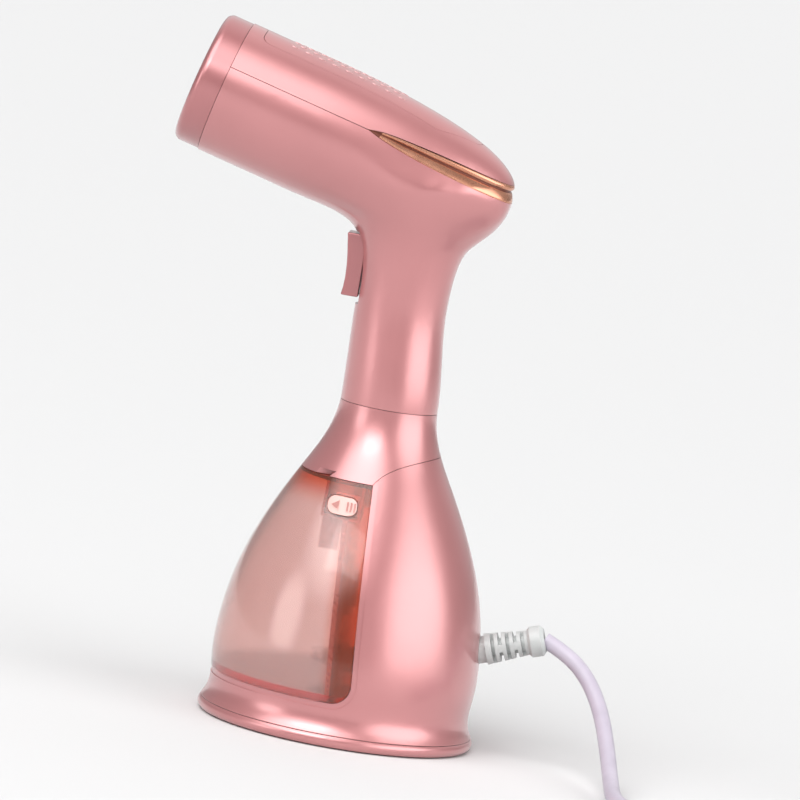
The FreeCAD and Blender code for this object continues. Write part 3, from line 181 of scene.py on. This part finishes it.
def coil_points():
    """Six turns and a quarter: inward on the floor, up one diameter, then outward on top."""
    points = []
    wide = 2 * CORD_RADIUS
    outer = COIL_MEAN + (TURNS_WIDE - 1) / 2 * wide
    total = TURNS_WIDE * TURNS_HIGH * TURN_STEPS + TURN_STEPS // 4
    for i in range(total + 1):
        turns = i / TURN_STEPS
        angle = math.tau * turns - math.pi / 2
        risen = min(max((turns - RISE_START) / RISE_TURNS, 0), 1)
        height = CORD_RADIUS + wide * risen * risen * (3 - 2 * risen)
        if turns < RISE_START:
            diameters_in = turns
        elif turns < TURNS_WIDE:
            diameters_in = TURNS_WIDE - 1 + (TURNS_WIDE - turns) / TURNS_WIDE
        else:
            diameters_in = max(TURNS_WIDE * TURNS_HIGH - 1 - turns, 0)
        radius = outer - wide * diameters_in
        points.append(COIL_CENTRE + Vector((radius * math.cos(angle), radius * math.sin(angle), height)))
    return points


def make_lead():
    """The whole lead as one curve; the bevel is one metre deep, so each point's radius is the cord's."""
    points = [Vector(point) * MM for point in LEAD_MM] + coil_points()
    points += [Vector(point) * MM for point in TAIL_MM]
    curve = bpy.data.curves.new("lead", "CURVE")
    curve.dimensions = "3D"
    spline = curve.splines.new("NURBS")
    spline.points.add(len(points) - 1)
    for knot, point in zip(spline.points, points):
        knot.co = (*point, 1)
        knot.radius = CORD_RADIUS
    spline.order_u = 3
    spline.use_endpoint_u = True
    spline.resolution_u = 8
    curve.bevel_depth = 1
    curve.bevel_resolution = 6
    lead = link(bpy.data.objects.new("lead", curve))
    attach(lead, "housing")
    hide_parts("power_cord", "cord_coil")
    return lead


# ---------------------------------------------------------------- trim along the head's side, in millimetres

TILT = math.radians(14.5)
SEAM_CENTRE = np.array((-93.4, 0.0, 269.4))
ALONG = np.array((math.cos(TILT), 0.0, -math.sin(TILT)))
UPRIGHT = np.array((math.sin(TILT), 0.0, math.cos(TILT)))
BARREL_RADIUS = 30.0
TAIL_START, TAIL_LENGTH, TAIL_RISE = 40.0, 94.0, 2.0
HANDLE_FOOT = 144.3
HANDLE_RADIUS, GRIP_DEPTH, GRIP_WIDTH, GRIP_SHIFT = 21.4, 20.0, 18.8, 2.2
GRIP_GROWTH = 45
GRIP_TOP = 236
BLEND = 18.0


def ease(fraction):
    fraction = np.clip(fraction, 0, 1)
    return fraction * fraction * (3 - 2 * fraction)


def barrel_distance(points):
    local = points - SEAM_CENTRE
    along, up = local @ ALONG, local @ UPRIGHT
    tail = np.maximum(0, along - TAIL_START) / TAIL_LENGTH
    across = np.hypot(points[..., 1], up - TAIL_RISE * tail ** 2) / BARREL_RADIUS
    slope = np.hypot(2 * tail / TAIL_LENGTH, 3 * across ** 2 / BARREL_RADIUS)
    return (tail ** 2 + across ** 3 - 1) / np.maximum(slope, 0.01)


def grip_distance(points):
    x, y, z = points[..., 0], points[..., 1], points[..., 2]
    grown = ease((z - HANDLE_FOOT) / GRIP_GROWTH)
    half_x = HANDLE_RADIUS + (GRIP_DEPTH - HANDLE_RADIUS) * grown
    half_y = HANDLE_RADIUS + (GRIP_WIDTH - HANDLE_RADIUS) * grown
    u, v = (x + GRIP_SHIFT * grown) / half_x, y / half_y
    distance = (u * u + v * v - 1) / np.maximum(2 * np.hypot(u / half_x, v / half_y), 0.02)
    return np.maximum(distance, z - GRIP_TOP)


def skin_distance(points):
    """Signed distance, in millimetres, to the outer skin of the head and the handle."""
    barrel, grip = barrel_distance(points), grip_distance(points)
    mix = np.maximum(BLEND - np.abs(barrel - grip), 0) / BLEND
    return np.minimum(barrel, grip) - mix * mix * BLEND / 4


RAY_REACH = 90.0
HALVINGS = 40


def on_skin(origin, way):
    """Where rays from points inside the skin meet it."""
    low, high = np.zeros(origin.shape[:-1]), np.full(origin.shape[:-1], RAY_REACH)
    for _ in range(HALVINGS):
        middle = (low + high) / 2
        inside = skin_distance(origin + way * middle[..., None]) < 0
        low, high = np.where(inside, middle, low), np.where(inside, high, middle)
    return origin + way * low[..., None]


NORMAL_STEP = 0.05


def skin_normal(points):
    steps = NORMAL_STEP * np.eye(3)
    slope = [skin_distance(points + step) - skin_distance(points - step) for step in steps]
    normal = np.stack(slope, axis=-1)
    return normal / np.linalg.norm(normal, axis=-1, keepdims=True)


def in_head(along, across, up):
    """A point of the head's own frame, whose origin is the seam behind the nozzle."""
    return (SEAM_CENTRE + ALONG * np.asarray(along)[..., None] + UPRIGHT * np.asarray(up)[..., None]
            + SIDEWAYS * np.asarray(across)[..., None])


SIDEWAYS = np.array((0.0, 1.0, 0.0))
TRIM_TIP, TRIM_LEVEL = 65.0, 10.8
TRIM_HUB = 90.0
TRIM_SWEEP = math.radians(132.3)
TRIM_STATIONS = 260
# share of the way from the lower to the upper edge, and how deep the face lies there, in millimetres
TRIM_PROFILE = [(0.0, 0.9), (0.015, 0.35), (0.05, 0.08), (0.12, 0.05), (0.3, 0.42), (0.48, 0.85),
                (0.58, 1.15), (0.63, 1.5), (0.69, 1.5), (0.73, 1.0), (0.78, 0.35), (0.83, 0.1),
                (0.9, 0.02), (0.96, 0.08), (0.985, 0.35), (1.0, 0.9)]
# profile rows at the channel's deepest part, which get the dark painted shade
PAINTED_SHADE_ROWS = range(6, 9)
TRIM_INSIDE = 2.1
# stations at each end that are painted dark all across as shade, first guess of the trim's run, and rounds to
# settle it
PAINTED_TIP_STATIONS = 7
RUN_GUESS, RUN_ROUNDS = 20.0, 12
# the channel reaches its full depth this far behind its tips, and has this share of it at them
DEPTH_RUN, DEPTH_LEAST = 16, 0.12


def leaf(along, share):
    """Height in the head's frame of a line between the lower and the upper edge of the trim."""
    run = np.maximum(along - TRIM_TIP, 0)
    upper = 2.4 * (1 - np.exp(-run / 8)) - 0.00035 * np.maximum(run - 34, 0) ** 2
    lower = -6.4 * (1 - np.exp(-run / 27.5))
    return TRIM_LEVEL + lower + (upper - lower) * share


def make_trim():
    """A band with a V-shaped channel that starts at a point on each side and wraps round the tail. Its
    deepest rows and both pointed tips are painted dark brown as shade.
    """
    angles = np.linspace(-TRIM_SWEEP, TRIM_SWEEP, TRIM_STATIONS)[:, None]
    shares = np.array([share for share, _ in TRIM_PROFILE])[None, :]
    depths = np.array([depth for _, depth in TRIM_PROFILE])[None, :]
    ways = np.cos(angles)[..., None] * ALONG + np.sin(angles)[..., None] * SIDEWAYS
    ways = np.broadcast_to(ways, (TRIM_STATIONS, shares.size, 3))
    along = np.broadcast_to(TRIM_TIP + RUN_GUESS, ways.shape[:2])
    hubs, middles = np.full(ways.shape[:2], TRIM_HUB), np.zeros(ways.shape[:2])
    for _ in range(RUN_ROUNDS):
        origin = in_head(hubs, middles, leaf(along, shares))
        surface = on_skin(origin, ways)
        along = (surface - SEAM_CENTRE) @ ALONG
    normal = skin_normal(surface)
    grown = np.clip((along - TRIM_TIP) / DEPTH_RUN, DEPTH_LEAST, 1)
    outer = surface - normal * (depths * grown)[..., None]
    inner = surface - normal * TRIM_INSIDE
    rows, columns = TRIM_STATIONS, shares.size
    points = np.concatenate([outer.reshape(-1, 3), inner.reshape(-1, 3)]) * MM
    count = rows * columns
    # dark marks each face that gets the painted shade of the channel
    faces, dark = [], []
    for i in range(rows - 1):
        for j in range(columns - 1):
            corner = i * columns + j
            quad = (corner, corner + 1, corner + columns + 1, corner + columns)
            faces.append(quad)
            # painted shade: faces in the channel's deepest rows and at both tips take the dark second
            # material
            dark.append(j in PAINTED_SHADE_ROWS or min(i, rows - 2 - i) < PAINTED_TIP_STATIONS)
            faces.append(tuple(count + index for index in reversed(quad)))
            dark.append(False)
    edge = [i * columns for i in range(rows)] + [(rows - 1) * columns + j for j in range(1, columns)]
    edge += [i * columns + columns - 1 for i in range(rows - 2, -1, -1)] + list(range(columns - 2, 0, -1))
    for start, end in zip(edge, edge[1:] + edge[:1]):
        faces.append((start, end, count + end, count + start))
        dark.append(False)
    trim = mesh_piece("trim_channel", points, faces)
    trim.data.materials.append(make_rose_gold())
    # second material: the dark brown painted shade of the channel and the tips
    trim.data.materials.append(make_painted_groove_shade())
    for polygon, shade in zip(trim.data.polygons, dark):
        polygon.material_index = int(shade)
    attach(trim, "housing")
    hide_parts("trim_band")


# ---------------------------------------------------------------- trigger, vents and button marks

TRIGGER_HALF = 7.0
TRIGGER_EDGE = 0.6
TRIGGER_SIDE = [(-21.2, 216.6), (-30.2, 216.6), (-29.6, 212.5), (-29.0, 208.5), (-28.5, 204.5),
                (-28.2, 200.5), (-28.1, 196.5), (-28.3, 192.5), (-28.8, 189.2), (-21.2, 189.2)]
HUB_CENTRE, HUB_RADIUS, HUB_SIDES = (-17.5, 213.5), 3.0, 20


def prism(shape, side):
    """A block as wide as the trigger with the given side view."""
    corners = [shape.verts.new((x * MM, -TRIGGER_HALF * MM, z * MM)) for x, z in side]
    face = shape.faces.new(corners)
    grown = bmesh.ops.extrude_face_region(shape, geom=[face])["geom"]
    far = [item for item in grown if isinstance(item, bmesh.types.BMVert)]
    bmesh.ops.translate(shape, verts=far, vec=(0, 2 * TRIGGER_HALF * MM, 0))


def make_trigger():
    """The finger pad and its hub, with a plain curved front."""
    shape = bmesh.new()
    prism(shape, TRIGGER_SIDE)
    bmesh.ops.bevel(shape, geom=shape.edges[:], offset=TRIGGER_EDGE * MM, segments=3, profile=0.5,
                    affect="EDGES")
    hub_x, hub_z = HUB_CENTRE
    turns = [math.tau * i / HUB_SIDES for i in range(HUB_SIDES)]
    prism(shape, [(hub_x + HUB_RADIUS * math.cos(turn), hub_z + HUB_RADIUS * math.sin(turn))
                  for turn in turns])
    pad_back, low, high = TRIGGER_SIDE[0][0], hub_z - HUB_RADIUS, hub_z + HUB_RADIUS
    prism(shape, [(pad_back, low), (hub_x, low), (hub_x, high), (pad_back, high)])
    bmesh.ops.recalc_face_normals(shape, faces=shape.faces)
    mesh = bpy.data.meshes.new("trigger_pad")
    shape.to_mesh(mesh)
    shape.free()
    pad = link(bpy.data.objects.new("trigger_pad", mesh))
    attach(pad, "trigger")
    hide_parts("trigger")
    return pad


VENT_ROWS = (-8.6, -4.3, 0.0, 4.3, 8.6)
VENT_START, VENT_PITCH, VENT_COUNT = 21.0, 6.4, 9
VENT_LONG, VENT_WIDE, VENT_HIGH = 1.9, 0.75, 0.34


def make_vents():
    """Rows of small raised louvre pips on the top panel."""
    shape = bmesh.new()
    for row, across in enumerate(VENT_ROWS):
        for i in range(VENT_COUNT - row % 2):
            along = VENT_START + VENT_PITCH * (i + 0.5 * (row % 2))
            centre = on_skin(in_head(along, across, 0.0)[None, :], UPRIGHT[None, :])
            normal = skin_normal(centre)[0]
            side = np.cross(normal, ALONG)
            side /= np.linalg.norm(side)
            forward = np.cross(side, normal)
            turn = Matrix((forward, side, normal)).transposed().to_4x4()
            grow = Matrix.Diagonal((VENT_LONG * MM, VENT_WIDE * MM, VENT_HIGH * MM, 1))
            place = Matrix.Translation(Vector(centre[0]) * MM) @ turn @ grow
            made = bmesh.ops.create_uvsphere(shape, u_segments=20, v_segments=12, radius=1, matrix=place)
            for vertex in made["verts"]:
                for face in vertex.link_faces:
                    face.smooth = True
    mesh = bpy.data.meshes.new("vent_pips")
    shape.to_mesh(mesh)
    shape.free()
    vents = link(bpy.data.objects.new("vent_pips", mesh))
    vents.data.materials.append(make_pearl("pearl_pip", (0.55, 0.29, 0.29), (0.61, 0.34, 0.34), 0.25))
    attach(vents, "housing")


BUTTON_Z = 102.0
MARK_HALF = 2
ARROW_TIP, ARROW_BACK = -15.4, -12.2
RIB_STARTS, RIB_LONG = (-8.6, -7.0, -5.4), 0.7
# how far the marks' inner and outer faces stand off the button, and the outer face's size beside the inner
MARK_FACES = ((-0.3, 1.0), (0.12, 0.9))
# rays to the button start this far out, at this share of the way from the mark's middle
RAY_START, RAY_SHARE = 80, 0.8


def make_button_marks(name, side):
    """A small arrow and three grip lines in a deeper tone, laid on the latch button's face."""
    button = nodes["release_button_" + name].data
    tree = BVHTree.FromPolygons([vertex.co[:] for vertex in button.vertices],
                                [tuple(polygon.vertices) for polygon in button.polygons])
    low, high = BUTTON_Z - MARK_HALF, BUTTON_Z + MARK_HALF
    shapes = [[(ARROW_TIP, BUTTON_Z), (ARROW_BACK, low), (ARROW_BACK, high)]]
    shapes += [[(x, low), (x + RIB_LONG, low), (x + RIB_LONG, high), (x, high)] for x in RIB_STARTS]
    points, faces = [], []
    for corners in shapes:
        middle = np.mean(corners, axis=0)
        base = len(points)
        count = len(corners)
        for proud, size in MARK_FACES:
            for corner in corners:
                x, z = middle + (np.array(corner) - middle) * size
                probe = middle + (np.array(corner) - middle) * RAY_SHARE
                start = Vector((probe[0], side * RAY_START, probe[1])) * MM
                hit = tree.ray_cast(start, Vector((0, -side, 0)))[0]
                points.append((x * MM, hit.y + side * proud * MM, z * MM))
        faces.append(list(range(base, base + count)))
        faces.append(list(range(base + count, base + 2 * count)))
        faces += [(base + i, base + (i + 1) % count, base + count + (i + 1) % count, base + count + i)
                  for i in range(count)]
    marks = mesh_piece("button_marks_" + name, points, faces, smooth=False)
    marks.data.materials.append(textured("mark_" + name, (0.36, 0.13, 0.11), (0.44, 0.17, 0.15), 60,
                                         0.35, 0.06, 0.08, 900))
    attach(marks, "release_" + name)


# ---------------------------------------------------------------- materials

NOISE_DETAIL = 3.0
# noise values where the dark tone ends and the light one starts
NOISE_LOW, NOISE_HIGH = 0.3, 0.7
GLOSS_FINENESS = 2.7
RELIEF_DEPTH = 0.0002


def textured(name, dark, light, scale, rough, rough_span, bump, bump_scale, **sockets):
    """A finish of mottled colour, uneven gloss and a fine relief; constants sit on the shader itself."""
    material = bpy.data.materials.new(name)
    material.use_nodes = True
    tree = material.node_tree
    shader = tree.nodes["Principled BSDF"]
    place = tree.nodes.new("ShaderNodeTexCoord")

    def noise(size, roughness=0.5):
        node = tree.nodes.new("ShaderNodeTexNoise")
        node.inputs["Scale"].default_value = size
        node.inputs["Detail"].default_value = NOISE_DETAIL
        node.inputs["Roughness"].default_value = roughness
        tree.links.new(place.outputs["Object"], node.inputs["Vector"])
        return node

    mottle = noise(scale)
    ramp = tree.nodes.new("ShaderNodeValToRGB")
    ramp.color_ramp.elements[0].position = NOISE_LOW
    ramp.color_ramp.elements[1].position = NOISE_HIGH
    ramp.color_ramp.elements[0].color = (*dark, 1)
    ramp.color_ramp.elements[1].color = (*light, 1)
    tree.links.new(mottle.outputs["Fac"], ramp.inputs["Fac"])
    tree.links.new(ramp.outputs["Color"], shader.inputs["Base Color"])
    gloss = tree.nodes.new("ShaderNodeMapRange")
    gloss.inputs["From Min"].default_value = NOISE_LOW
    gloss.inputs["From Max"].default_value = NOISE_HIGH
    gloss.inputs["To Min"].default_value = rough - rough_span
    gloss.inputs["To Max"].default_value = rough + rough_span
    tree.links.new(noise(scale * GLOSS_FINENESS, 0.6).outputs["Fac"], gloss.inputs["Value"])
    tree.links.new(gloss.outputs["Result"], shader.inputs["Roughness"])
    relief = tree.nodes.new("ShaderNodeBump")
    relief.inputs["Strength"].default_value = bump
    relief.inputs["Distance"].default_value = RELIEF_DEPTH
    tree.links.new(noise(bump_scale, 0.55).outputs["Fac"], relief.inputs["Height"])
    tree.links.new(relief.outputs["Normal"], shader.inputs["Normal"])
    for socket, value in sockets.items():
        shader.inputs[socket.replace("_", " ")].default_value = value
    return material


def make_pearl(name, dark, light, rough=0.3):
    return textured(name, dark, light, 14, rough, 0.02, 0.02, 260, Metallic=0.5, Coat_Weight=0.9,
                    Coat_Roughness=0.2, Specular_IOR_Level=0.6)


def make_rose_gold():
    return textured("rose_gold", (0.58, 0.26, 0.165), (0.68, 0.33, 0.22), 40, 0.26, 0.05, 0.05, 1200,
                    Metallic=0.85)


def make_painted_groove_shade():
    # a dark brown painted into the channel's deepest part and the tips, standing for their shade
    return textured("rose_gold_painted_shade", (0.12, 0.035, 0.022), (0.19, 0.06, 0.04), 60, 0.35, 0.08, 0.1,
                    900, Metallic=0.5)


# x + TANK_LEAN * z is the same all along the tank's slanting rear edge
TANK_LEAN = 0.08
TANK_TINT = (0.82, 0.22, 0.12, 1)
# where the tint starts and is full, in metres: along that sum, and in height
EDGE_TINT, ROOF_TINT = (-0.006, 0.004), (0.098, 0.112)
TANK_DEPTH_COLOUR, TANK_DEPTH_DENSITY = (1.0, 0.60, 0.50, 1), 150


def tinted(material):
    """The tank's deeper orange towards its rear edge and its roof; thicker walls look redder."""
    tree = material.node_tree
    shader = tree.nodes["Principled BSDF"]
    pale = shader.inputs["Base Color"].links[0].from_socket
    place = next(node for node in tree.nodes if node.type == "TEX_COORD")
    split = tree.nodes.new("ShaderNodeSeparateXYZ")
    tree.links.new(place.outputs["Object"], split.inputs["Vector"])
    lean = tree.nodes.new("ShaderNodeMath")
    lean.operation = "MULTIPLY_ADD"
    lean.inputs[1].default_value = TANK_LEAN
    tree.links.new(split.outputs["Z"], lean.inputs[0])
    tree.links.new(split.outputs["X"], lean.inputs[2])
    shares = []
    for socket, (start, end) in ((lean.outputs["Value"], EDGE_TINT), (split.outputs["Z"], ROOF_TINT)):
        share = tree.nodes.new("ShaderNodeMapRange")
        share.interpolation_type = "SMOOTHSTEP"
        share.inputs["From Min"].default_value = start
        share.inputs["From Max"].default_value = end
        tree.links.new(socket, share.inputs["Value"])
        shares.append(share.outputs["Result"])
    most = tree.nodes.new("ShaderNodeMath")
    most.operation = "MAXIMUM"
    tree.links.new(shares[0], most.inputs[0])
    tree.links.new(shares[1], most.inputs[1])
    blend = tree.nodes.new("ShaderNodeMix")
    blend.data_type = "RGBA"
    colours = [socket for socket in blend.inputs if socket.type == "RGBA"]
    colours[1].default_value = TANK_TINT
    tree.links.new(most.outputs["Value"], blend.inputs["Factor"])
    tree.links.new(pale, colours[0])
    mixed = next(socket for socket in blend.outputs if socket.type == "RGBA")
    tree.links.new(mixed, shader.inputs["Base Color"])
    depth = tree.nodes.new("ShaderNodeVolumeAbsorption")
    depth.inputs["Color"].default_value = TANK_DEPTH_COLOUR
    depth.inputs["Density"].default_value = TANK_DEPTH_DENSITY
    tree.links.new(depth.outputs["Volume"], tree.nodes["Material Output"].inputs["Volume"])
    return material


# for each: dark and light tone, mottle scale, gloss and its span, relief and its scale, then sockets
FINISHES = {
    "pearl_pink_dark": lambda: make_pearl("pearl_pink_dark", (0.40, 0.145, 0.15), (0.45, 0.17, 0.175), 0.3),
    "pearl_pink": lambda: make_pearl("pearl_pink", (0.48, 0.19, 0.193), (0.54, 0.22, 0.223)),
    "rose_gold": make_rose_gold,
    "tank_clear": lambda: tinted(textured(
        "tank_clear", (0.91, 0.73, 0.71), (0.97, 0.82, 0.80), 9, 0.17, 0.04, 0.03, 300,
        Transmission_Weight=0.9, IOR=1.38, Coat_Weight=0.5, Coat_Roughness=0.05)),
    "tank_inner": lambda: textured("tank_inner", (0.50, 0.13, 0.08), (0.60, 0.18, 0.12), 12, 0.3, 0.06,
                                   0.05, 500, Transmission_Weight=0.35, IOR=1.4),
    "button_pale": lambda: textured("button_pale", (0.60, 0.33, 0.29), (0.67, 0.38, 0.34), 30, 0.26, 0.04,
                                    0.06, 900, Coat_Weight=0.4, Coat_Roughness=0.15),
    "inner_plastic": lambda: textured("inner_plastic", (0.52, 0.48, 0.45), (0.62, 0.58, 0.55), 40, 0.5, 0.08,
                                      0.25, 900),
    "black_plastic": lambda: textured("black_plastic", (0.012, 0.012, 0.013), (0.03, 0.03, 0.032), 60, 0.48,
                                      0.08, 0.3, 1100),
    "relief_white": lambda: textured("relief_white", (0.40, 0.415, 0.41), (0.48, 0.495, 0.49), 60, 0.42, 0.07,
                                     0.18, 900),
    "cord_lilac": lambda: textured("cord_lilac", (0.40, 0.36, 0.43), (0.47, 0.43, 0.50), 70, 0.36, 0.06, 0.16,
                                   1300),
    "silicone": lambda: textured("silicone", (0.55, 0.55, 0.52), (0.66, 0.66, 0.63), 50, 0.4, 0.06, 0.12, 600,
                                 Transmission_Weight=0.3, IOR=1.41),
    "foot_rubber": lambda: textured("foot_rubber", (0.03, 0.028, 0.028), (0.055, 0.052, 0.052), 80, 0.7, 0.1,
                                    0.4, 900),
    "steel": lambda: textured("steel", (0.48, 0.48, 0.49), (0.60, 0.60, 0.61), 90, 0.3, 0.08, 0.12, 1400,
                              Metallic=1.0, Anisotropic=0.3),
    "aluminium": lambda: textured("aluminium", (0.52, 0.52, 0.53), (0.66, 0.66, 0.67), 120, 0.45, 0.1,
                                  0.5, 700, Metallic=0.95),
    "nickel": lambda: textured("nickel", (0.60, 0.585, 0.56), (0.70, 0.685, 0.66), 90, 0.18, 0.05, 0.06, 1300,
                               Metallic=1.0),
    "brass": lambda: textured("brass", (0.60, 0.40, 0.13), (0.72, 0.50, 0.19), 90, 0.28, 0.07, 0.1, 1000,
                              Metallic=1.0),
    "board_green": lambda: textured("board_green", (0.01, 0.075, 0.028), (0.02, 0.11, 0.045), 150, 0.38, 0.08,
                                    0.2, 1500),
    "copper_coil": lambda: textured("copper_coil", (0.24, 0.065, 0.022), (0.38, 0.12, 0.05), 110, 0.42, 0.1,
                                    0.4, 800, Metallic=0.3),
}


def paint_nodes():
    """Every CAD node gets the finish of its own material slot."""
    made = {slot: build() for slot, build in FINISHES.items()}
    for row in frame["record"]["subparts"]:
        mesh = nodes[row["node"]].data
        mesh.materials.clear()
        mesh.materials.append(made[row["material_slot"]])
    return made


make_camera()
make_stage()
finishes = paint_nodes()
make_lead().data.materials.append(finishes["cord_lilac"])
make_trim()
make_vents()
make_button_marks("left", -1)
make_button_marks("right", 1)
make_trigger().data.materials.append(finishes["pearl_pink_dark"])

bpy.context.view_layer.update()
